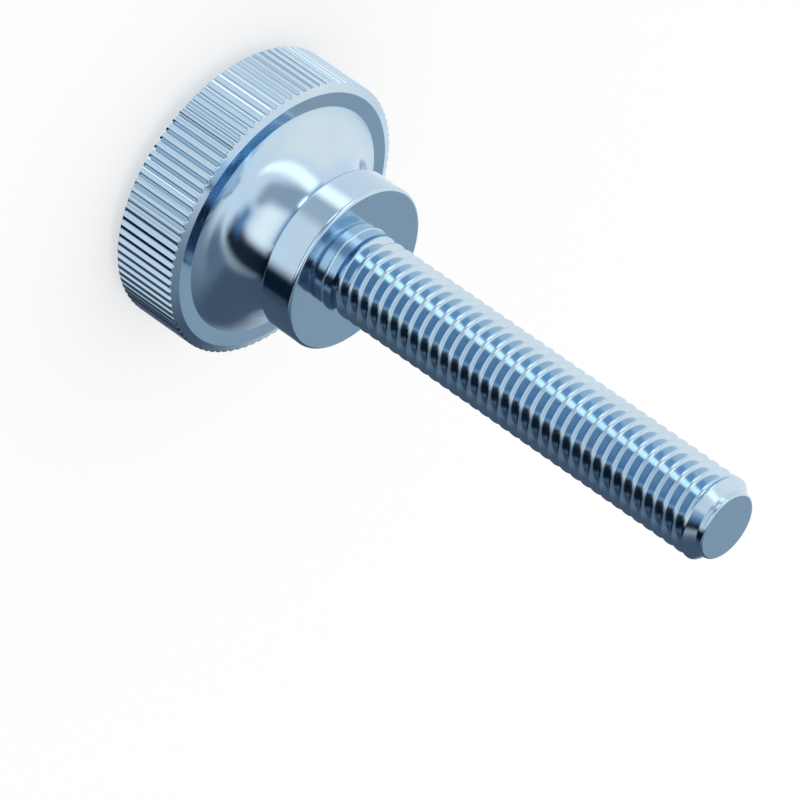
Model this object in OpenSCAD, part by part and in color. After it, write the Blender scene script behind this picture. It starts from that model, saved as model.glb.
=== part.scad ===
// High knurled thumb screw, turned from one steel bar.
// It stands on its head: z = 0 is the flat top face, +Z runs along the axis to the tip.

/* [Head] */
// Diameter over the tips of the knurl
knurl_d = 33.6; // [28:0.2:40]
// Width of the knurled band, along the axis
knurl_w = 8; // [5:0.25:12]
// Width of the wide chamfer round the top face, along the radius
top_chamfer_w = 2.1; // [1:0.1:3.5]
// Height of the same chamfer, along the axis
top_chamfer_h = 1.4; // [0.6:0.1:2.4]
// Rounding between the top face and its chamfer
top_edge_r = 0.6; // [0.2:0.1:1]
// Width of the narrow chamfer on the underside, along the radius
under_chamfer_w = 1.1; // [0.6:0.1:2]
// Height of the same chamfer, along the axis
under_chamfer_h = 0.4; // [0.2:0.05:1]
// Width of the flat ring between that chamfer and the flare
under_ring_w = 1.7; // [0.8:0.1:3]

/* [Knurl] */
// Number of straight teeth round the head
knurl_teeth = 92; // [60:1:110]
// Depth of a tooth
knurl_depth = 0.3; // [0.2:0.05:0.45]
// Share of each tooth that is left flat, on its tip
knurl_tip_share = 0.4; // [0.3:0.05:0.6]

/* [Neck and collar] */
// Diameter of the neck, where the flare ends
neck_d = 17; // [14:0.5:18.5]
// Height from the head's underside to the back of the collar
neck_h = 6.5; // [5:0.25:9]
// Slope at which the flare leaves the underside
flare_slope = 14; // [5:1:25]
// Diameter of the collar
collar_d = 20; // [19:0.5:26]
// Thickness of the collar
collar_t = 4.5; // [2.5:0.25:7]
// Rounding of the collar's two edges
collar_edge_r = 0.4; // [0.2:0.1:0.8]

/* [Shank] */
// Length from the collar's face to the tip
shank_l = 55; // [25:1:80]
// Length left plain under the collar
plain_l = 1.2; // [0.8:0.1:4]
// Diameter of the pilot at the tip
pilot_d = 8; // [6:0.1:8.1]
// Length of the pilot
pilot_l = 0.8; // [0.5:0.1:5]
// Chamfer on the pilot's edge
pilot_chamfer = 0.2; // [0.1:0.05:0.5]

/* [Thread] */
// Nominal diameter of the thread
thread_d = 10; // [9.5:0.1:12]
// Pitch of the thread
thread_pitch = 1.5; // [1.25:0.05:1.75]
// How far the crests stay below the nominal radius
thread_allowance = 0.03; // [0.02:0.01:0.1]
// Steps in each turn of the helix
thread_steps = 24; // [16:2:28]
// Width of the plain land that closes the thread, before its end chamfer
end_land_w = 0.15; // [0.1:0.05:1]

/* [Hidden] */
$fn = 96;
steel = "#b9cedf";
// margin by which one solid runs into, or past, another
lap = 0.5;

knurl_r = knurl_d / 2;
top_face_r = knurl_r - top_chamfer_w;
top_chamfer_slope = atan(top_chamfer_h / top_chamfer_w);
// distance from the corner to where its rounding starts
top_edge_l = top_edge_r * tan(top_chamfer_slope / 2);
knurl_to_z = top_chamfer_h + knurl_w;
underside_z = knurl_to_z + under_chamfer_h;
under_ring_r = knurl_r - under_chamfer_w;
flare_r = under_ring_r - under_ring_w;
neck_r = neck_d / 2;
collar_back_z = underside_z + neck_h;
collar_face_z = collar_back_z + collar_t;
collar_r = collar_d / 2;
tip_z = collar_face_z + shank_l;
pilot_z = tip_z - pilot_l;
pilot_r = pilot_d / 2;
thread_r = thread_d / 2;
crest_r = thread_r - thread_allowance;
// the end of the thread is turned down at 45 degrees to the pilot
thread_chamfer_h = thread_r - pilot_r;

// Proportions of a metric thread: depth, and the widths of its crest and flanks
root_r = thread_r - 0.6134 * thread_pitch;
crest_w = thread_pitch / 8;
flank_w = (crest_r - root_r) * tan(30);

// The flare is one arc: it leaves the underside at flare_slope and ends along the neck
flare_arc_r = (flare_r - neck_r) / (1 - sin(flare_slope));
flare_arc_z = underside_z + flare_arc_r * cos(flare_slope);

// Corners of one tooth of the knurl, as [share of a tooth, depth below the tip]
knurl_root_share = 0.08;
tooth = [
    [-knurl_tip_share / 2, 0],
    [knurl_tip_share / 2, 0],
    [(1 - knurl_root_share) / 2, knurl_depth],
    [(1 + knurl_root_share) / 2, knurl_depth]
];

function polar(r, a) = [r * cos(a), r * sin(a)];

// Cross-section of the knurled band: straight teeth between narrow V grooves
module knurl_outline() {
    polygon([
        for (i = [0 : knurl_teeth - 1], p = tooth)
            polar(knurl_r - p[1], (i + p[0]) * 360 / knurl_teeth)
    ]);
}

// Half-section of the head's disc, wider by a lap than the knurl that it trims
module disc_profile() {
    polygon([
        [0, 0],
        [top_face_r - top_edge_l, 0],
        [top_face_r, 0] + top_edge_l * [cos(top_chamfer_slope), sin(top_chamfer_slope)],
        [knurl_r + lap, top_chamfer_h * (1 + lap / top_chamfer_w)],
        [knurl_r + lap, underside_z - under_chamfer_h * (1 + lap / under_chamfer_w)],
        [under_ring_r, underside_z],
        [0, underside_z]
    ]);
    translate([top_face_r - top_edge_l, top_edge_r]) circle(r = top_edge_r);
}

module knurled_head() {
    intersection() {
        linear_extrude(height = underside_z) knurl_outline();
        rotate_extrude() disc_profile();
    }
}

// Half-section of the flare and the neck, with the arc cut out of a plain step
module flare_profile() {
    difference() {
        polygon([
            [0, underside_z - lap],
            [flare_r, underside_z - lap],
            [flare_r, collar_back_z + lap],
            [0, collar_back_z + lap]
        ]);
        translate([neck_r + flare_arc_r, flare_arc_z]) circle(r = flare_arc_r);
        translate([neck_r, flare_arc_z]) square([flare_r, neck_h]);
    }
}

module neck() {
    rotate_extrude() flare_profile();
}

// Half-section of a disc with both edges rounded
module rounded_profile(r, h, edge) {
    square([r - edge, h]);
    translate([0, edge]) square([r, h - 2 * edge]);
    for (z = [edge, h - edge]) translate([r - edge, z]) circle(r = edge);
}

module collar() {
    translate([0, 0, collar_back_z])
        rotate_extrude() intersection() {
            rounded_profile(collar_r, collar_t, collar_edge_r);
            square([collar_r, collar_t]);
        }
}

// Points of the helix: each step holds the four corners of the thread's profile
thread_corners = [
    [root_r, 0],
    [root_r, thread_pitch - crest_w - 2 * flank_w],
    [crest_r, thread_pitch - crest_w - flank_w],
    [crest_r, thread_pitch - flank_w]
];
thread_from_z = collar_face_z - 1.5 * thread_pitch;
thread_turns = (pilot_z - thread_from_z) / thread_pitch + 1.5;
thread_last = ceil(thread_turns * thread_steps);

function thread_point(i, j) = concat(
    polar(thread_corners[j][0], i * 360 / thread_steps),
    [thread_from_z + i * thread_pitch / thread_steps + thread_corners[j][1]]
);
// Index of corner j of step i, where corner 4 is the first corner one turn on
function corner(i, j) = j < 4 ? 4 * i + j : 4 * (i + thread_steps);

// The threaded rod as one closed helical skin
module thread_helix() {
    below = 4 * (thread_last + 1);
    above = below + 1;
    last_turn = thread_last - thread_steps;
    foot = concat(
        [for (i = [0 : thread_steps]) corner(i, 0)],
        [for (j = [3 : -1 : 0]) corner(0, j)]
    );
    top = concat(
        [for (i = [last_turn : thread_last]) corner(i, 3)],
        [for (j = [2 : -1 : 0]) corner(thread_last, j)],
        [corner(last_turn, 3)]
    );
    polyhedron(
        points = concat(
            [for (i = [0 : thread_last], j = [0 : 3]) thread_point(i, j)],
            [[0, 0, thread_from_z], [0, 0, thread_from_z + (thread_turns + 1) * thread_pitch]]
        ),
        faces = concat(
            [for (i = [0 : thread_last - 1], j = [0 : 2])
                [corner(i, j), corner(i, j + 1), corner(i + 1, j + 1)]],
            [for (i = [0 : thread_last - 1], j = [0 : 2])
                [corner(i, j), corner(i + 1, j + 1), corner(i + 1, j)]],
            [for (i = [0 : last_turn - 1])
                [corner(i, 3), corner(i, 4), corner(i + 1, 4)]],
            [for (i = [0 : last_turn - 1])
                [corner(i, 3), corner(i + 1, 4), corner(i + 1, 3)]],
            [for (k = [0 : len(foot) - 2]) [foot[k], foot[k + 1], below]],
            [for (k = [0 : len(top) - 2]) [top[k + 1], top[k], above]]
        )
    );
}

// Half-section that trims the helix: square at the collar, chamfered at the pilot
module thread_limits() {
    polygon([
        [0, collar_face_z - lap],
        [thread_r + lap, collar_face_z - lap],
        [thread_r + lap, pilot_z - thread_chamfer_h - lap],
        [pilot_r, pilot_z],
        [0, pilot_z]
    ]);
}

// Plain ring that closes the last groove, and carries the end chamfer
module thread_end() {
    ring_w = thread_chamfer_h + end_land_w;
    translate([0, 0, pilot_z - ring_w]) cylinder(r = thread_r, h = ring_w);
}

module thread() {
    intersection() {
        union() {
            thread_helix();
            thread_end();
        }
        rotate_extrude() thread_limits();
    }
}

// Plain length under the collar, and the pilot at the tip
module plain_shank() {
    translate([0, 0, collar_face_z - lap]) cylinder(r = thread_r, h = lap + plain_l);
}

module pilot() {
    rotate_extrude() polygon([
        [0, pilot_z - lap],
        [root_r - lap, pilot_z - lap],
        [root_r - lap, pilot_z],
        [pilot_r, pilot_z],
        [pilot_r, tip_z - pilot_chamfer],
        [pilot_r - pilot_chamfer, tip_z],
        [0, tip_z]
    ]);
}

module thumb_screw() {
    color(steel) union() {
        knurled_head();
        neck();
        collar();
        plain_shank();
        thread();
        pilot();
    }
}

thumb_screw();
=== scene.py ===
"""Knurled thumb screw in bluish zinc plate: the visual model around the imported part.

Sizes are in millimetres, as on a drawing, and become metres where a mesh is made.
The screw stands on its head: z = 0 is the flat top face, +Z runs to the tip.
"""

from __future__ import annotations

import logging
import math
from collections.abc import Iterable, Sequence
from dataclasses import dataclass
from enum import Enum
from typing import Any

import bmesh
import bpy
from mathutils import Matrix, Vector

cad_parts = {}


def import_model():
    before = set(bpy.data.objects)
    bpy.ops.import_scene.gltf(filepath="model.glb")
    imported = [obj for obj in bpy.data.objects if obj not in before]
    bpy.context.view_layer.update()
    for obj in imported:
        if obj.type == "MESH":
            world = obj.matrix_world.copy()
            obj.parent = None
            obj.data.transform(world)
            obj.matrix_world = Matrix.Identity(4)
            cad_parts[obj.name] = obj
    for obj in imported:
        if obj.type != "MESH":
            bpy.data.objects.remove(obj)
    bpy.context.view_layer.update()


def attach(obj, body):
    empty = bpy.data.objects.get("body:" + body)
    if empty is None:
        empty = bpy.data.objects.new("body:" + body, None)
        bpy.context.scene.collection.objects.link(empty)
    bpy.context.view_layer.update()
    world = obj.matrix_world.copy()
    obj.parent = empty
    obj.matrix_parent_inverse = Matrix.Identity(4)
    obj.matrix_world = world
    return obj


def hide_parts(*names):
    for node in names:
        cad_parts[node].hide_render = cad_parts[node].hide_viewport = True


MM = 0.001
WELD_MM = 0.002
LOG = logging.getLogger("thumb_screw")

Link = Any
Corner = tuple[float, float]


class Side(Enum):
    """Which way a flat ring faces along the axis."""

    HEAD = -1
    TIP = 1


# ---------------------------------------------------------------------------
# Sizes
# ---------------------------------------------------------------------------


@dataclass(frozen=True)
class ScrewSizes:
    """Sizes of the whole screw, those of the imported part, in millimetres."""

    knurl_d: float = 33.6
    knurl_w: float = 8.0
    top_chamfer_w: float = 2.1
    top_chamfer_h: float = 1.4
    under_chamfer_w: float = 1.1
    under_chamfer_h: float = 0.4
    under_ring_w: float = 1.7
    neck_d: float = 17.0
    neck_h: float = 6.5
    flare_slope: float = 14.0
    collar_d: float = 20.0
    collar_t: float = 4.5
    shank_l: float = 55.0
    plain_l: float = 1.2
    thread_d: float = 10.0
    pitch: float = 1.5
    pilot_d: float = 8.0
    pilot_l: float = 0.8
    end_land_w: float = 0.15

    @property
    def knurl_r(self) -> float:
        """Radius over the knurl's tips."""
        return self.knurl_d / 2

    @property
    def knurl_end_z(self) -> float:
        """Height at which the knurled band meets the underside's chamfer."""
        return self.top_chamfer_h + self.knurl_w

    @property
    def underside_z(self) -> float:
        """Height of the head's underside."""
        return self.knurl_end_z + self.under_chamfer_h

    @property
    def ring_r(self) -> float:
        """Outer radius of the flat ring on the underside."""
        return self.knurl_r - self.under_chamfer_w

    @property
    def flare_r(self) -> float:
        """Radius at which the flare leaves the underside."""
        return self.ring_r - self.under_ring_w

    @property
    def collar_back_z(self) -> float:
        """Height of the collar's back."""
        return self.underside_z + self.neck_h

    @property
    def collar_face_z(self) -> float:
        """Height of the collar's bearing face."""
        return self.collar_back_z + self.collar_t

    @property
    def thread_z(self) -> float:
        """Height at which the thread starts."""
        return self.collar_face_z + self.plain_l

    @property
    def tip_z(self) -> float:
        """Height of the tip, which is the length of the screw."""
        return self.collar_face_z + self.shank_l

    @property
    def pilot_z(self) -> float:
        """Height at which the pilot starts."""
        return self.tip_z - self.pilot_l

    @property
    def end_land_z(self) -> float:
        """Height at which the end chamfer's plain land closes the thread."""
        return self.pilot_z - (self.thread_d - self.pilot_d) / 2 - self.end_land_w


# ---------------------------------------------------------------------------
# Helpers for nodes
# ---------------------------------------------------------------------------


def linear(hex_colour: str) -> tuple[float, float, float, float]:
    """Turns an sRGB hex colour into linear light.

    Args:
        hex_colour: six hex digits after a hash sign.

    Returns:
        Red, green, blue and alpha, the last always 1.
    """
    parts = [int(hex_colour[i : i + 2], 16) / 255 for i in (1, 3, 5)]
    red, green, blue = (
        c / 12.92 if c <= 0.04045 else ((c + 0.055) / 1.055) ** 2.4 for c in parts
    )
    return red, green, blue, 1.0


def add_node(
    tree: bpy.types.NodeTree,
    kind: str,
    settings: dict[str, Any] | None = None,
    links: dict[int | str, Link] | None = None,
) -> bpy.types.Node:
    """Adds one node with its settings and what its inputs take.

    Args:
        tree: the tree that gets the node.
        kind: the node's type name.
        settings: its properties by name.
        links: by input, a socket to link or a value to set.

    Returns:
        The new node.
    """
    node = tree.nodes.new(kind)
    for name, value in (settings or {}).items():
        setattr(node, name, value)
    for key, value in (links or {}).items():
        if isinstance(value, bpy.types.NodeSocket):
            tree.links.new(value, node.inputs[key])
        else:
            node.inputs[key].default_value = value
    return node


class Formula:
    """Writes arithmetic into a node tree, one Math node for each step."""

    def __init__(self, tree: bpy.types.NodeTree) -> None:
        """Keeps the tree that gets the nodes."""
        self.tree = tree

    def step(self, operation: str, *values: Link) -> Link:
        """Adds one Math node.

        Args:
            operation: the Math node's operation.
            values: its one, two or three operands, sockets or numbers.

        Returns:
            The result's socket.
        """
        node = add_node(
            self.tree, "ShaderNodeMath", {"operation": operation}, dict(enumerate(values))
        )
        return node.outputs[0]

    def tooth(self, phase: Link, crest: Link, root: Link, tip_soft: Link, root_soft: Link) -> Link:
        """The depth of one tooth as a share of the whole, 0 at its tip and 1 at its root.

        Args:
            phase: position along the teeth, a whole number at each tip.
            crest: the tip's width as a share of the spacing.
            root: the root's width as a share of the spacing.
            tip_soft: how softly the tip turns into the flanks.
            root_soft: how softly the flanks turn into the root.

        Returns:
            The depth's socket.
        """
        from_tip = self.step("MULTIPLY", self.step("PINGPONG", phase, 0.5), 2.0)
        flank = self.step("SUBTRACT", self.step("SUBTRACT", 1.0, crest), root)
        ramp = self.step("DIVIDE", self.step("SUBTRACT", from_tip, crest), flank)
        soft_tip = self.step("SMOOTH_MAX", ramp, 0.0, tip_soft)
        return self.step("SMOOTH_MIN", soft_tip, 1.0, root_soft)


class NodeShape:
    """A Geometry Nodes tree with named inputs, run once on a mesh."""

    def __init__(self, name: str, inputs: Sequence[tuple[str, str]]) -> None:
        """Makes the tree and its inputs.

        Args:
            name: the tree's name.
            inputs: each input's name and socket type, after the geometry.
        """
        self.tree = bpy.data.node_groups.new(name, "GeometryNodeTree")
        face = self.tree.interface
        face.new_socket("Geometry", in_out="INPUT", socket_type="NodeSocketGeometry")
        self.sockets = {
            label: face.new_socket(label, in_out="INPUT", socket_type=kind)
            for label, kind in inputs
        }
        face.new_socket("Geometry", in_out="OUTPUT", socket_type="NodeSocketGeometry")
        self.source = add_node(self.tree, "NodeGroupInput")
        self.formula = Formula(self.tree)

    def given(self, label: str) -> Link:
        """The socket of a named input."""
        return self.source.outputs[label]

    def grid(self, columns: Link, rows: Link) -> tuple[Link, Link, Link]:
        """Adds a grid whose points are told apart by row and column.

        Args:
            columns: how many cells the grid has round the axis.
            rows: how many points each column has.

        Returns:
            The grid, each point's row and each point's column.
        """
        across = self.formula.step("ADD", columns, 1.0)
        mesh = add_node(
            self.tree,
            "GeometryNodeMeshGrid",
            links={"Vertices X": across, "Vertices Y": rows},
        )
        index = add_node(self.tree, "GeometryNodeInputIndex").outputs[0]
        row = add_node(
            self.tree, "FunctionNodeIntegerMath", {"operation": "MODULO"}, {0: index, 1: rows}
        )
        column = add_node(
            self.tree, "FunctionNodeIntegerMath", {"operation": "DIVIDE"}, {0: index, 1: rows}
        )
        return mesh.outputs["Mesh"], row.outputs[0], column.outputs[0]

    def close(self, mesh: Link, radius: Link, height: Link, turn: Link) -> None:
        """Places each point at its radius, height and share of a turn, and ends the tree.

        Args:
            mesh: the grid.
            radius: distance from the axis.
            height: height along the axis.
            turn: share of a full turn about the axis.
        """
        flat = add_node(
            self.tree, "ShaderNodeCombineXYZ", links={"X": radius, "Z": height}
        ).outputs[0]
        angle = self.formula.step("MULTIPLY", turn, math.tau)
        place = add_node(
            self.tree,
            "ShaderNodeVectorRotate",
            {"rotation_type": "Z_AXIS"},
            {"Vector": flat, "Angle": angle},
        )
        placed = add_node(
            self.tree,
            "GeometryNodeSetPosition",
            links={"Geometry": mesh, "Position": place.outputs[0]},
        )
        welded = add_node(
            self.tree,
            "GeometryNodeMergeByDistance",
            links={"Geometry": placed.outputs[0], "Distance": WELD_MM * MM},
        )
        smooth = add_node(
            self.tree, "GeometryNodeSetShadeSmooth", links={"Geometry": welded.outputs[0]}
        )
        real = add_node(
            self.tree, "GeometryNodeRealizeInstances", links={"Geometry": smooth.outputs[0]}
        )
        dressed = add_node(
            self.tree,
            "GeometryNodeSetMaterial",
            links={"Geometry": real.outputs[0], "Material": self.given("Material")},
        )
        add_node(
            self.tree, "NodeGroupOutput", links={"Geometry": dressed.outputs[0]}
        )

    def run(self, mesh: bpy.types.Mesh, values: dict[str, Any]) -> bpy.types.Mesh:
        """Runs the tree on a mesh.

        Args:
            mesh: what the tree starts from.
            values: each named input's value.

        Returns:
            The evaluated result as a plain mesh.
        """
        carrier = bpy.data.objects.new(mesh.name, mesh)
        bpy.context.scene.collection.objects.link(carrier)
        modifier = carrier.modifiers.new(self.tree.name, "NODES")
        modifier.node_group = self.tree
        for label, value in values.items():
            modifier[self.sockets[label].identifier] = value
        evaluated = carrier.evaluated_get(bpy.context.evaluated_depsgraph_get())
        result = bpy.data.meshes.new_from_object(evaluated)
        carrier.modifiers.clear()
        bpy.data.objects.remove(carrier)
        bpy.data.meshes.remove(mesh)
        return result


class TurnedSurface(NodeShape):
    """Turns a half-section about the axis, and sinks straight teeth into it.

    Each point of the half-section has a sink vector, the way it moves for each
    unit of tooth depth, so a tooth runs out along the chamfer at its ends.
    """

    def __init__(self) -> None:
        """Builds the tree."""
        super().__init__(
            "turned_surface",
            [
                ("Columns", "NodeSocketInt"),
                ("Teeth", "NodeSocketInt"),
                ("Tooth depth", "NodeSocketFloat"),
                ("Tip share", "NodeSocketFloat"),
                ("Root share", "NodeSocketFloat"),
                ("Tip rounding", "NodeSocketFloat"),
                ("Root rounding", "NodeSocketFloat"),
                ("Material", "NodeSocketMaterial"),
            ],
        )
        tree, maths = self.tree, self.formula
        section = self.given("Geometry")
        count = add_node(tree, "GeometryNodeAttributeDomainSize", links={"Geometry": section})
        columns = self.given("Columns")
        mesh, row, column = self.grid(columns, count.outputs["Point Count"])
        place = add_node(tree, "GeometryNodeInputPosition").outputs[0]
        sink = add_node(
            tree,
            "GeometryNodeInputNamedAttribute",
            {"data_type": "FLOAT_VECTOR"},
            {"Name": "sink"},
        ).outputs["Attribute"]
        point, way = (
            add_node(
                tree,
                "GeometryNodeSampleIndex",
                {"data_type": "FLOAT_VECTOR", "domain": "POINT"},
                {"Geometry": section, "Value": value, "Index": row},
            ).outputs["Value"]
            for value in (place, sink)
        )
        turn = maths.step("DIVIDE", column, columns)
        phase = maths.step("MULTIPLY", turn, self.given("Teeth"))
        tooth = maths.tooth(
            phase,
            self.given("Tip share"),
            self.given("Root share"),
            self.given("Tip rounding"),
            self.given("Root rounding"),
        )
        depth = maths.step("MULTIPLY", tooth, self.given("Tooth depth"))
        moved = add_node(
            tree, "ShaderNodeVectorMath", {"operation": "SCALE"}, {0: way, "Scale": depth}
        )
        sunk = add_node(
            tree,
            "ShaderNodeVectorMath",
            {"operation": "SUBTRACT"},
            {0: point, 1: moved.outputs[0]},
        )
        parts = add_node(tree, "ShaderNodeSeparateXYZ", links={0: sunk.outputs[0]})
        self.close(mesh, parts.outputs["X"], parts.outputs["Z"], turn)


class HelicalThread(NodeShape):
    """A right-hand thread cut into a rod, and closed by a flat wall at each end.

    It starts from loose points, whose x is where each row of the mesh lies in a
    pitch. Rows that pass an end are laid on its wall, and welded there.
    """

    def __init__(self) -> None:
        """Builds the tree."""
        super().__init__(
            "helical_thread",
            [
                ("Steps", "NodeSocketInt"),
                ("Pitches", "NodeSocketInt"),
                ("Pitch", "NodeSocketFloat"),
                ("First crest", "NodeSocketFloat"),
                ("Start", "NodeSocketFloat"),
                ("End", "NodeSocketFloat"),
                ("Outer radius", "NodeSocketFloat"),
                ("Allowance", "NodeSocketFloat"),
                ("Depth", "NodeSocketFloat"),
                ("Crest share", "NodeSocketFloat"),
                ("Root share", "NodeSocketFloat"),
                ("Crest rounding", "NodeSocketFloat"),
                ("Root rounding", "NodeSocketFloat"),
                ("Material", "NodeSocketMaterial"),
            ],
        )
        tree, maths, given = self.tree, self.formula, self.given
        rows = add_node(
            tree, "GeometryNodeAttributeDomainSize", links={"Geometry": given("Geometry")}
        ).outputs["Point Count"]
        total = maths.step("MULTIPLY", rows, given("Pitches"))
        mesh, row, column = self.grid(given("Steps"), total)
        turn = maths.step("DIVIDE", column, given("Steps"))
        in_pitch = maths.step("FLOORED_MODULO", row, rows)
        place = add_node(tree, "GeometryNodeInputPosition").outputs[0]
        point = add_node(
            tree,
            "GeometryNodeSampleIndex",
            {"data_type": "FLOAT_VECTOR", "domain": "POINT"},
            {"Geometry": given("Geometry"), "Value": place, "Index": in_pitch},
        ).outputs["Value"]
        share = add_node(tree, "ShaderNodeSeparateXYZ", links={0: point}).outputs["X"]
        whole = maths.step("FLOOR", maths.step("DIVIDE", row, rows))
        pitches = maths.step("ADD", maths.step("ADD", turn, whole), share)
        along = maths.step("MULTIPLY_ADD", pitches, given("Pitch"), given("First crest"))
        height = add_node(
            tree,
            "ShaderNodeClamp",
            links={"Value": along, "Min": given("Start"), "Max": given("End")},
        ).outputs[0]
        from_crest = maths.step("SUBTRACT", height, given("First crest"))
        phase = maths.step("SUBTRACT", maths.step("DIVIDE", from_crest, given("Pitch")), turn)
        tooth = maths.tooth(
            phase,
            given("Crest share"),
            given("Root share"),
            given("Crest rounding"),
            given("Root rounding"),
        )
        cut = maths.step("MULTIPLY_ADD", tooth, given("Depth"), given("Allowance"))
        beyond = maths.step("ABSOLUTE", maths.step("SUBTRACT", along, height))
        on_wall = maths.step("LESS_THAN", beyond, maths.step("MULTIPLY", given("Pitch"), 0.2))
        radius = maths.step(
            "SUBTRACT", given("Outer radius"), maths.step("MULTIPLY", cut, on_wall)
        )
        self.close(mesh, radius, height, turn)


# ---------------------------------------------------------------------------
# Half-sections
# ---------------------------------------------------------------------------


@dataclass(frozen=True)
class SectionPoint:
    """One point of a half-section, and the way it moves as a tooth is sunk."""

    r: float
    z: float
    sink: Corner = (0.0, 0.0)


def rounded(
    before: Corner,
    corner: Corner,
    after: Corner,
    radius: float,
    steps: int = 4,
    sink: Corner = (0.0, 0.0),
) -> list[SectionPoint]:
    """Rounds one corner of a half-section with a true arc.

    A guard point on each side keeps the arc's shading off the flats beside it.

    Args:
        before: the point that the corner is reached from.
        corner: the sharp corner.
        after: the point that follows it.
        radius: the arc's radius.
        steps: the arc's segments.
        sink: the sink vector of all its points.

    Returns:
        The points, in order.
    """
    here = Vector(corner)
    back, ahead = (Vector(before) - here).normalized(), (Vector(after) - here).normalized()
    half = back.angle(ahead) / 2
    tangent = radius / math.tan(half)
    centre = here + (back + ahead).normalized() * (radius / math.sin(half))
    start, end = here + back * tangent, here + ahead * tangent
    first, last = start - centre, end - centre
    sweep = first.angle_signed(last)
    guard = min(radius / 2, 0.08)
    arc = [centre + Matrix.Rotation(-sweep * i / steps, 2) @ first for i in range(steps + 1)]
    points = [start + back * guard, *arc, end + ahead * guard]
    return [SectionPoint(p.x, p.y, sink) for p in points]


def section_mesh(name: str, points: Iterable[SectionPoint]) -> bpy.types.Mesh:
    """Makes a half-section's points into a mesh with their sink vectors.

    Args:
        name: the mesh's name.
        points: the half-section, in order.

    Returns:
        A mesh of loose points, in metres.
    """
    listed = list(points)
    mesh = bpy.data.meshes.new(name)
    mesh.from_pydata([(p.r * MM, 0, p.z * MM) for p in listed], [], [])
    sink = mesh.attributes.new("sink", "FLOAT_VECTOR", "POINT")
    for item, point in zip(sink.data, listed):
        item.vector = (point.sink[0], 0, point.sink[1])
    return mesh


def flat_rings(
    name: str, z: float, rings: Sequence[tuple[float, int]], side: Side
) -> bpy.types.Mesh:
    """Fills a flat face with rings, each with as many sides as the one outside it, or fewer.

    Args:
        name: the mesh's name.
        z: the face's height.
        rings: radius and number of sides of each ring, outermost first. A radius
            of 0 closes the face at its centre.
        side: the way the face looks.

    Returns:
        The face, in metres.
    """
    shape = bmesh.new()

    def ring(radius: float, sides: int) -> list[bmesh.types.BMVert]:
        """The points of one ring."""
        turns = (math.tau * i / sides for i in range(sides))
        return [
            shape.verts.new((radius * MM * math.cos(a), radius * MM * math.sin(a), z * MM))
            for a in turns
        ]

    outer = ring(*rings[0])
    for radius, sides in rings[1:]:
        inner = ring(radius, sides) if radius else [shape.verts.new((0, 0, z * MM))]
        cells = sides if radius else len(outer)
        share = len(outer) // cells
        for i in range(cells):
            arc = [outer[(i * share + k) % len(outer)] for k in range(share + 1)]
            near = [inner[(i + 1) % len(inner)], inner[i % len(inner)]]
            loop = arc + (near if len(inner) > 1 else near[:1])
            shape.faces.new(loop if side is Side.TIP else loop[::-1])
        outer = inner
    mesh = bpy.data.meshes.new(name)
    shape.to_mesh(mesh)
    shape.free()
    return mesh


# ---------------------------------------------------------------------------
# Sub-assemblies
# ---------------------------------------------------------------------------


@dataclass(frozen=True)
class KnurledHead:
    """The round head: flat top, wide chamfer, straight knurl and narrow chamfer."""

    sizes: ScrewSizes
    teeth: int = 92
    steps_in_tooth: int = 10
    tooth_depth: float = 0.3
    tip_share: float = 0.4
    root_share: float = 0.08
    tip_rounding: float = 0.1
    root_rounding: float = 0.1
    top_edge_r: float = 0.6
    tooth_end_r: float = 0.12
    ring_edge_r: float = 0.25
    face_margin: float = 1.2
    ring_margin: float = 0.7

    @property
    def columns(self) -> int:
        """Columns of faces round the head."""
        return self.teeth * self.steps_in_tooth

    def section(self) -> list[SectionPoint]:
        """The half-section from the top face to the flat ring on the underside."""
        s = self.sizes
        top_r = s.knurl_r - s.top_chamfer_w
        centre, top = (0.0, 0.0), (top_r, 0.0)
        upper, lower = (s.knurl_r, s.top_chamfer_h), (s.knurl_r, s.knurl_end_z)
        ring, inside = (s.ring_r, s.underside_z), (s.flare_r, s.underside_z)
        top_slope = s.top_chamfer_h / s.top_chamfer_w
        low_slope = s.under_chamfer_h / s.under_chamfer_w
        clear = s.knurl_r - 3 * self.tooth_depth
        margin = top_r - self.face_margin
        return [
            SectionPoint(margin, 0.0),
            *rounded(centre, top, upper, self.top_edge_r, 6),
            SectionPoint(clear, s.top_chamfer_h - top_slope * 3 * self.tooth_depth),
            *rounded(top, upper, lower, self.tooth_end_r, 3, (1.0, top_slope)),
            *rounded(upper, lower, ring, self.tooth_end_r, 3, (1.0, -low_slope)),
            *rounded(lower, ring, inside, self.ring_edge_r, 3),
            SectionPoint(s.ring_r - self.ring_margin, s.underside_z),
        ]

    def meshes(
        self, turned: TurnedSurface, finish: bpy.types.Material, sides: int
    ) -> list[bpy.types.Mesh]:
        """Builds the head's surface.

        Args:
            turned: the tree that turns half-sections.
            finish: the material.
            sides: sides of the plain turned surfaces.

        Returns:
            The knurled part, the top face and the flat ring on the underside.
        """
        s = self.sizes
        knurl = turned.run(
            section_mesh("knurled_band", self.section()),
            {
                "Columns": self.columns,
                "Teeth": self.teeth,
                "Tooth depth": self.tooth_depth * MM,
                "Tip share": self.tip_share,
                "Root share": self.root_share,
                "Tip rounding": self.tip_rounding,
                "Root rounding": self.root_rounding,
                "Material": finish,
            },
        )
        face_r = s.knurl_r - s.top_chamfer_w - self.face_margin
        top = flat_rings(
            "top_face",
            0.0,
            [(face_r, self.columns), (face_r - 0.6, sides), (face_r / 2, sides), (0, 1)],
            Side.HEAD,
        )
        ring_r = s.ring_r - self.ring_margin
        under = flat_rings(
            "under_ring",
            s.underside_z,
            [(ring_r, self.columns), (ring_r - 0.5, sides)],
            Side.TIP,
        )
        return [knurl, top, under]


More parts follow.
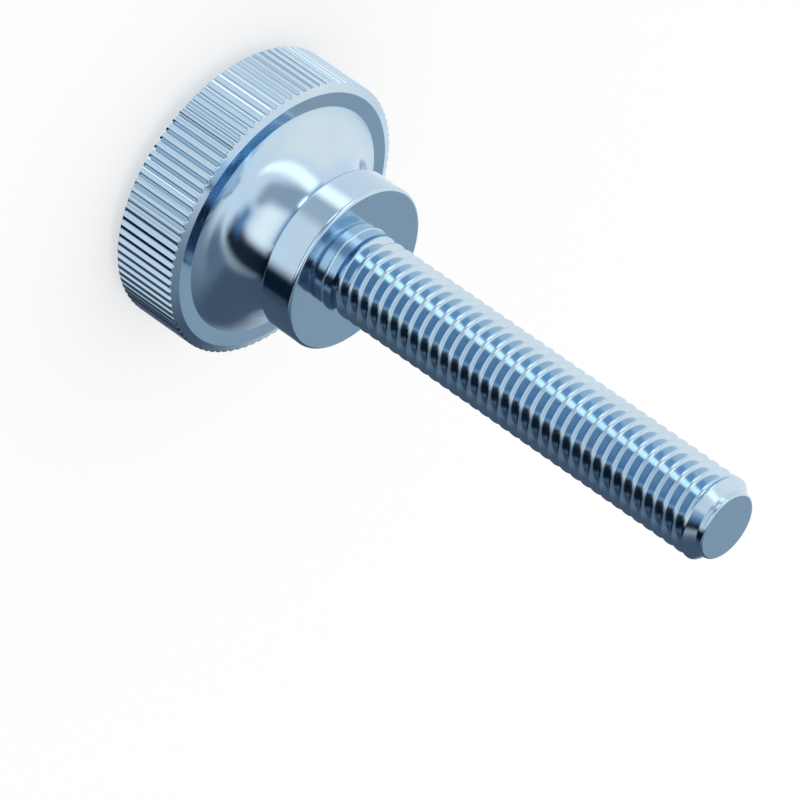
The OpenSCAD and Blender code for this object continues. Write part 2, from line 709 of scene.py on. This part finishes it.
@dataclass(frozen=True)
class FlaredNeck:
    """The trumpet-shaped flare under the head, the neck and the collar."""

    sizes: ScrewSizes
    sides: int
    flare_steps: int = 28
    seat_r: float = 0.15
    collar_edge_r: float = 0.4
    shank_fillet_r: float = 0.15
    ring_margin: float = 1.2
    face_margin: float = 1.5

    def flare(self) -> list[Corner]:
        """Corner points of the flare's arc, from the underside to the collar."""
        s = self.sizes
        neck_r, slope = s.neck_d / 2, math.radians(s.flare_slope)
        arc_r = (s.flare_r - neck_r) / (1 - math.sin(slope))
        centre_z = s.underside_z + arc_r * math.cos(slope)
        last = math.asin(min(1.0, (centre_z - s.collar_back_z) / arc_r))
        first = math.pi / 2 - slope
        angles = [
            first + (last - first) * i / self.flare_steps for i in range(self.flare_steps + 1)
        ]
        return [
            (neck_r + arc_r * (1 - math.cos(a)), centre_z - arc_r * math.sin(a)) for a in angles
        ]

    def section(self) -> list[SectionPoint]:
        """The half-section from the flat ring on the underside to the shank."""
        s = self.sizes
        arc = self.flare()
        foot, seat = arc[0], arc[-1]
        ring = (s.ring_r, s.underside_z)
        back, rim = (s.collar_d / 2, s.collar_back_z), (s.collar_d / 2, s.collar_face_z)
        root = (s.thread_d / 2, s.collar_face_z)
        return [
            SectionPoint(s.ring_r - self.ring_margin, s.underside_z),
            *rounded(ring, foot, arc[1], 0.3, 2),
            *(SectionPoint(*p) for p in arc[1:-1]),
            *rounded(arc[-2], seat, back, self.seat_r, 3),
            *rounded(seat, back, rim, self.collar_edge_r, 6),
            *rounded(back, rim, root, self.collar_edge_r, 6),
            SectionPoint(s.collar_d / 2 - self.face_margin, s.collar_face_z),
        ]

    def foot_section(self) -> list[SectionPoint]:
        """The half-section of the shank's foot, up to the thread."""
        s = self.sizes
        rim, root, shank = (
            (s.collar_d / 2, s.collar_face_z),
            (s.thread_d / 2, s.collar_face_z),
            (s.thread_d / 2, s.thread_z),
        )
        return [
            SectionPoint(s.thread_d / 2 + self.face_margin, s.collar_face_z),
            *rounded(rim, root, shank, self.shank_fillet_r, 3),
            SectionPoint(*shank),
        ]

    def meshes(
        self, turned: TurnedSurface, finish: bpy.types.Material, steps: int
    ) -> list[bpy.types.Mesh]:
        """Builds the neck, the collar and the shank's foot.

        Args:
            turned: the tree that turns half-sections.
            finish: the material.
            steps: sides of the shank.

        Returns:
            The flare with the collar, the collar's face and the shank's foot.
        """
        s = self.sizes
        plain = {"Teeth": 1, "Material": finish}
        neck = turned.run(section_mesh("neck", self.section()), {"Columns": self.sides, **plain})
        foot = turned.run(
            section_mesh("shank_foot", self.foot_section()), {"Columns": steps, **plain}
        )
        face = flat_rings(
            "bearing_face",
            s.collar_face_z,
            [
                (s.collar_d / 2 - self.face_margin, self.sides),
                (s.thread_d / 2 + self.face_margin, steps),
            ],
            Side.TIP,
        )
        return [neck, face, foot]


@dataclass(frozen=True)
class ThreadedShank:
    """The threaded length, its end chamfer and the pilot at the tip."""

    sizes: ScrewSizes
    steps: int
    allowance: float = 0.03
    depth_share: float = 0.6134
    crest_share: float = 0.12
    root_share: float = 0.13
    crest_rounding: float = 0.04
    root_rounding: float = 0.05
    crest_at: float = 0.595
    chamfer_edge_r: float = 0.06
    pilot_root_r: float = 0.08
    pilot_edge_r: float = 0.25
    tip_ring_w: float = 0.8
    half_rows: tuple[float, ...] = (0.02, 0.06, 0.1, 0.13, 0.36, 0.39, 0.44)

    def row_mesh(self) -> bpy.types.Mesh:
        """The rows' places in a pitch, from a crest to the next, as loose points."""
        half = self.half_rows
        places = [0.0, *half, 0.5, *(1 - share for share in reversed(half))]
        mesh = bpy.data.meshes.new("thread")
        mesh.from_pydata([(share, 0, 0) for share in places], [], [])
        return mesh

    def pilot_section(self) -> list[SectionPoint]:
        """The half-section from the thread's closed end to the flat tip."""
        s = self.sizes
        r, outer, tip = s.pilot_d / 2, s.thread_d / 2, s.tip_z
        start, corner = (outer, s.end_land_z), (outer, s.end_land_z + s.end_land_w)
        root, edge, centre = (r, s.pilot_z), (r, tip), (0.0, tip)
        return [
            SectionPoint(*start),
            *rounded(start, corner, root, self.chamfer_edge_r, 3),
            *rounded(corner, root, edge, self.pilot_root_r, 3),
            *rounded(root, edge, centre, self.pilot_edge_r, 5),
            SectionPoint(r - 0.8, tip),
        ]

    def meshes(
        self, turned: TurnedSurface, helix: HelicalThread, finish: bpy.types.Material
    ) -> list[bpy.types.Mesh]:
        """Builds the thread and the pilot.

        Args:
            turned: the tree that turns half-sections.
            helix: the tree that cuts the thread.
            finish: the material.

        Returns:
            The thread, the pilot's wall and its flat tip.
        """
        s = self.sizes
        first = s.collar_face_z + (self.crest_at - 2.5) * s.pitch
        thread = helix.run(
            self.row_mesh(),
            {
                "Steps": self.steps,
                "Pitches": math.ceil((s.end_land_z - first) / s.pitch) + 1,
                "Pitch": s.pitch * MM,
                "First crest": first * MM,
                "Start": s.thread_z * MM,
                "End": s.end_land_z * MM,
                "Outer radius": s.thread_d / 2 * MM,
                "Allowance": self.allowance * MM,
                "Depth": (self.depth_share * s.pitch - self.allowance) * MM,
                "Crest share": self.crest_share,
                "Root share": self.root_share,
                "Crest rounding": self.crest_rounding,
                "Root rounding": self.root_rounding,
                "Material": finish,
            },
        )
        pilot = turned.run(
            section_mesh("pilot", self.pilot_section()),
            {"Columns": self.steps, "Teeth": 1, "Material": finish},
        )
        tip = flat_rings(
            "tip_face",
            s.tip_z,
            [
                (s.pilot_d / 2 - self.tip_ring_w, self.steps),
                (s.pilot_d / 4, self.steps),
                (0, 1),
            ],
            Side.TIP,
        )
        return [thread, pilot, tip]


@dataclass(frozen=True)
class ZincPlate:
    """Bright zinc plate, passivated blue, over fine-turned steel.

    The part's plate is 0.008 mm thick and mirrors the room, so it takes its look
    from four things:
      * a cold pale metal, with slow clouds where the passivation film is thicker,
        which keep broad flats and cylinders from reading as painted;
      * rings around the axis, the lathe's feed, which draw the mirror out along
        the cuts and tell the eye that the part was turned. The feed is 0.1 mm and
        is drawn at 0.3 mm, so that it holds in a picture of the whole part;
      * a fine grain in the gloss, 0.6 mm wide, the crystals of the plate;
      * ring marks that also tilt the surface, by about a third of a degree.
    """

    name: str = "bluish_zinc_plate"
    thin_film: str = "#bfd7e9"
    thick_film: str = "#b3cde3"
    roughness: float = 0.115
    feed_mm: float = 0.3
    feed_roughness: float = 0.05
    feed_height_mm: float = 0.0003
    cloud_mm: float = 7.0
    grain_mm: float = 0.6
    grain_roughness: float = 0.04

    def material(self) -> bpy.types.Material:
        """Builds the material on Object coordinates, with its sizes from mm."""
        finish = bpy.data.materials.new(self.name)
        finish.use_nodes = True
        tree = finish.node_tree
        tree.nodes.clear()
        maths = Formula(tree)
        place = add_node(tree, "ShaderNodeTexCoord").outputs["Object"]
        axes = add_node(tree, "ShaderNodeSeparateXYZ", links={0: place}).outputs
        from_axis = maths.step(
            "SQRT",
            maths.step(
                "ADD",
                maths.step("MULTIPLY", axes["X"], axes["X"]),
                maths.step("MULTIPLY", axes["Y"], axes["Y"]),
            ),
        )
        section = add_node(tree, "ShaderNodeCombineXYZ", links={0: from_axis, 1: axes["Z"]})
        feed = self.noise(tree, section.outputs[0], self.feed_mm, 1.0)
        cloud = self.noise(tree, place, self.cloud_mm, 2.0)
        grain = self.noise(tree, place, self.grain_mm, 1.0)
        film = add_node(
            tree,
            "ShaderNodeMix",
            {"data_type": "RGBA"},
            {0: cloud, 6: linear(self.thin_film), 7: linear(self.thick_film)},
        ).outputs[2]
        ringed = maths.step(
            "MULTIPLY_ADD", feed, self.feed_roughness, self.roughness - self.feed_roughness / 2
        )
        grained = maths.step(
            "MULTIPLY_ADD", grain, self.grain_roughness, -self.grain_roughness / 2
        )
        gloss = maths.step("ADD", ringed, grained)
        marks = add_node(
            tree,
            "ShaderNodeBump",
            links={"Strength": 1.0, "Distance": self.feed_height_mm * MM, "Height": feed},
        ).outputs[0]
        shader = add_node(
            tree,
            "ShaderNodeBsdfPrincipled",
            links={"Base Color": film, "Metallic": 1.0, "Roughness": gloss, "Normal": marks},
        )
        add_node(
            tree, "ShaderNodeOutputMaterial", links={"Surface": shader.outputs[0]}
        )
        return finish

    @staticmethod
    def noise(tree: bpy.types.NodeTree, place: Link, size_mm: float, detail: float) -> Link:
        """Adds a noise pattern of a real size.

        Args:
            tree: the tree that gets the node.
            place: where the pattern is read, in metres.
            size_mm: the width of one blotch in mm.
            detail: how many finer layers it carries.

        Returns:
            The pattern, from 0 to 1 around a half.
        """
        return add_node(
            tree,
            "ShaderNodeTexNoise",
            {"noise_dimensions": "3D"},
            {"Vector": place, "Scale": 1 / (size_mm * MM), "Detail": detail},
        ).outputs[0]


@dataclass(frozen=True)
class ThumbScrew:
    """The whole screw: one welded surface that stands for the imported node."""

    sizes: ScrewSizes = ScrewSizes()
    finish: ZincPlate = ZincPlate()
    node: str = "thumb_screw"
    slot: str = "zinc_plated_steel"
    teeth: int = 92
    sharp_angle: float = 50.0

    def build(self) -> bpy.types.Object:
        """Builds, welds and dresses the screw.

        Returns:
            The screw's object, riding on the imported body.
        """
        material = self.finish.material()
        turned, helix = TurnedSurface(), HelicalThread()
        head = KnurledHead(self.sizes, teeth=self.teeth)
        neck = FlaredNeck(self.sizes, sides=2 * self.teeth)
        shank = ThreadedShank(self.sizes, steps=self.teeth)
        parts = [
            *head.meshes(turned, material, 2 * self.teeth),
            *neck.meshes(turned, material, self.teeth),
            *shank.meshes(turned, helix, material),
        ]
        screw = self.weld(parts, material)
        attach(screw, "root")
        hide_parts(self.node)
        return screw

    def weld(
        self, parts: Iterable[bpy.types.Mesh], material: bpy.types.Material
    ) -> bpy.types.Object:
        """Joins the parts into one closed surface.

        Args:
            parts: the meshes, which share their edges.
            material: the material of the whole.

        Returns:
            The joined object, linked to the scene.
        """
        shape = bmesh.new()
        for part in parts:
            LOG.info("part %s: %d faces", part.name, len(part.polygons))
            shape.from_mesh(part)
            bpy.data.meshes.remove(part)
        bmesh.ops.remove_doubles(shape, verts=shape.verts, dist=WELD_MM * MM)
        bmesh.ops.recalc_face_normals(shape, faces=shape.faces)
        mesh = bpy.data.meshes.new("knurled_thumb_screw")
        for face in shape.faces:
            face.smooth = True
            face.material_index = 0
        open_edges = sum(1 for edge in shape.edges if len(edge.link_faces) != 2)
        volume = shape.calc_volume(signed=True)
        shape.to_mesh(mesh)
        shape.free()
        mesh.set_sharp_from_angle(angle=math.radians(self.sharp_angle))
        mesh.materials.clear()
        mesh.materials.append(material)
        screw = bpy.data.objects.new(mesh.name, mesh)
        bpy.context.scene.collection.objects.link(screw)
        triangles = sum(len(p.vertices) - 2 for p in mesh.polygons)
        LOG.info(
            "screw: %d triangles, %d open edges, %.1f mm3",
            triangles,
            open_edges,
            volume / MM**3,
        )
        return screw


# ---------------------------------------------------------------------------
# Studio
# ---------------------------------------------------------------------------


@dataclass(frozen=True)
class Viewpoint:
    """Where the camera stands, and how it is turned, in millimetres and degrees."""

    eye: tuple[float, float, float] = (529.344, 667.579, 522.061)
    aim: tuple[float, float, float] = (-10.554, 0.861, 31.239)
    roll: float = 124.975
    lens: float = 413.08

    def camera(self) -> bpy.types.Object:
        """Makes the scene's camera."""
        data = bpy.data.cameras.new("studio_camera")
        data.lens, data.sensor_width = self.lens, 36.0
        data.clip_start, data.clip_end = 0.01, 20.0
        camera = bpy.data.objects.new("studio_camera", data)
        eye, aim = Vector(self.eye) * MM, Vector(self.aim) * MM
        look = (aim - eye).to_track_quat("-Z", "Y").to_matrix().to_4x4()
        camera.matrix_world = (
            Matrix.Translation(eye) @ look @ Matrix.Rotation(math.radians(self.roll), 4, "Z")
        )
        bpy.context.scene.collection.objects.link(camera)
        bpy.context.scene.camera = camera
        return camera


@dataclass(frozen=True)
class Panel:
    """A softbox or a dark flag round the set, as the metal sees it, in degrees.

    Its sides are soft over `edge`, and its top and bottom over `rim`, or over
    `edge` too where `rim` is 0.
    """

    azimuth: float
    elevation: float
    half_width: float
    half_height: float
    edge: float
    colour: str
    strength: float = 1.0
    lean: float = 0.0
    rim: float = 0.0

    def hang(self, tree: bpy.types.NodeTree, azimuth: Link, elevation: Link, behind: Link) -> Link:
        """Hangs the panel in front of what is there already.

        Args:
            tree: the world's tree.
            azimuth: azimuth of the direction looked in.
            elevation: its elevation.
            behind: the colour behind the panel.

        Returns:
            The colour with the panel.
        """
        maths = Formula(tree)
        above = maths.step("SUBTRACT", elevation, self.elevation)
        across = maths.step("SUBTRACT", azimuth, self.azimuth)
        leant = maths.step("MULTIPLY_ADD", above, self.lean, across)
        offsets = (
            (maths.step("WRAP", leant, 180.0, -180.0), self.half_width, self.edge),
            (above, self.half_height, self.rim or self.edge),
        )
        cover: Link = 1.0
        for offset, half, edge in offsets:
            inside = add_node(
                tree,
                "ShaderNodeMapRange",
                {"interpolation_type": "SMOOTHSTEP"},
                {
                    "Value": maths.step("ABSOLUTE", offset),
                    "From Min": half - edge / 2,
                    "From Max": half + edge / 2,
                    "To Min": 1.0,
                    "To Max": 0.0,
                },
            ).outputs[0]
            cover = maths.step("MULTIPLY", cover, inside)
        light = [c * self.strength for c in linear(self.colour)[:3]]
        mix = add_node(
            tree,
            "ShaderNodeMix",
            {"data_type": "RGBA", "clamp_factor": True},
            {0: cover, 6: behind, 7: (*light, 1.0)},
        )
        return mix.outputs[2]


@dataclass(frozen=True)
class Studio:
    """A pale floor, a white surround, and panels that only the metal mirrors."""

    surround: str = "#ffffff"
    floor_half_side: float = 3.0
    floor_drop_mm: float = 0.05
    paper_glow: float = 0.5
    panels: tuple[Panel, ...] = (
        # The slate wall behind the head, and its lit upper edge.
        Panel(180, -10, 42, 70, 25, "#53606f"),
        Panel(180, 55, 40, 12, 25, "#8b98a1"),
        # A dark header over the wall, which keeps the thread's crests thin.
        Panel(160, 58, 18, 14, 20, "#6b7c8a"),
        # A navy flag beside it: the dark band along the collar's side and the thread.
        Panel(122, -5, 20, 70, 20, "#101e2d", lean=0.2),
        # A pale grey wall, and a blue gel high up between the wall and the flag.
        Panel(24, 10, 20, 45, 20, "#adb8c1", lean=-0.3),
        Panel(85, 55, 20, 8, 20, "#6389b1", lean=0.2),
        # The lamps: a tall strip, and a softbox on either side of it.
        Panel(-10, 12, 10, 60, 14, "#fffaf0", 1.7),
        Panel(-68, 30, 36, 32, 28, "#fff6ec", 1.2),
        Panel(70, 17, 26, 18, 24, "#fff6ec", 1.4),
        # The grey card that the collar's face and the tip mirror.
        Panel(-128, 32, 15, 14, 12, "#a4b2bc"),
        # Low cards for the thread's grooves, which mirror the room from 9 to 26 degrees down.
        Panel(-10, -17, 14, 8, 8, "#a8cbe2"),
        Panel(60, -17, 30, 8, 12, "#7098b5"),
        Panel(120, -17, 25, 8, 14, "#050f18"),
        Panel(16, -17, 9, 8, 8, "#fffaf0", 2.6),
    )

    def world(self) -> None:
        """Builds the world: plain white to the camera, panels to the metal."""
        world = bpy.data.worlds.new("studio")
        world.use_nodes = True
        bpy.context.scene.world = world
        tree = world.node_tree
        tree.nodes.clear()
        maths = Formula(tree)
        towards = add_node(tree, "ShaderNodeTexCoord").outputs["Generated"]
        axes = add_node(tree, "ShaderNodeSeparateXYZ", links={0: towards}).outputs
        azimuth = maths.step("DEGREES", maths.step("ARCTAN2", axes["Y"], axes["X"]))
        elevation = maths.step("DEGREES", maths.step("ARCSINE", axes["Z"]))
        mirrored: Link = linear(self.surround)
        for panel in self.panels:
            mirrored = panel.hang(tree, azimuth, elevation, mirrored)
        path = add_node(tree, "ShaderNodeLightPath").outputs
        seen = add_node(
            tree,
            "ShaderNodeMix",
            {"data_type": "RGBA"},
            {0: path["Is Glossy Ray"], 6: (1.0, 1.0, 1.0, 1.0), 7: mirrored},
        )
        light = add_node(
            tree, "ShaderNodeBackground", links={"Color": seen.outputs[2], "Strength": 1.0}
        )
        add_node(tree, "ShaderNodeOutputWorld", links={"Surface": light.outputs[0]})

    def floor(self) -> bpy.types.Object:
        """Lays the pale floor that the screw stands on."""
        half = self.floor_half_side
        mesh = bpy.data.meshes.new("studio_floor")
        level = -self.floor_drop_mm * MM
        signs = ((-1, -1), (1, -1), (1, 1), (-1, 1))
        corners = [(x * half, y * half, level) for x, y in signs]
        mesh.from_pydata(corners, [], [(0, 1, 2, 3)])
        mesh.materials.append(self.paper())
        floor = bpy.data.objects.new("studio_floor", mesh)
        floor.visible_glossy = False
        bpy.context.scene.collection.objects.link(floor)
        return floor

    def paper(self) -> bpy.types.Material:
        """White backdrop paper, half lit and half glowing, so its shadow stays pale."""
        paper = bpy.data.materials.new("backdrop_paper")
        paper.use_nodes = True
        tree = paper.node_tree
        tree.nodes.clear()
        matt = add_node(tree, "ShaderNodeBsdfDiffuse", links={"Color": (1.0, 1.0, 1.0, 1.0)})
        glow = add_node(tree, "ShaderNodeEmission")
        both = add_node(
            tree,
            "ShaderNodeMixShader",
            links={0: self.paper_glow, 1: matt.outputs[0], 2: glow.outputs[0]},
        )
        clear = add_node(tree, "ShaderNodeBsdfTransparent")
        below = add_node(tree, "ShaderNodeNewGeometry").outputs["Backfacing"]
        sheet = add_node(
            tree,
            "ShaderNodeMixShader",
            links={0: below, 1: both.outputs[0], 2: clear.outputs[0]},
        )
        add_node(tree, "ShaderNodeOutputMaterial", links={"Surface": sheet.outputs[0]})
        return paper

    def build(self) -> None:
        """Builds the world and the floor, and sets the plain view transform."""
        self.world()
        self.floor()
        bpy.context.scene.view_settings.view_transform = "Standard"


def main() -> None:
    """Builds the scene."""
    logging.basicConfig(level=logging.INFO, format="%(name)s: %(message)s")
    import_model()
    screw = ThumbScrew().build()
    LOG.info("piece %s on root", screw.name)
    Studio().build()
    Viewpoint().camera()


if __name__ == "__main__":
    main()
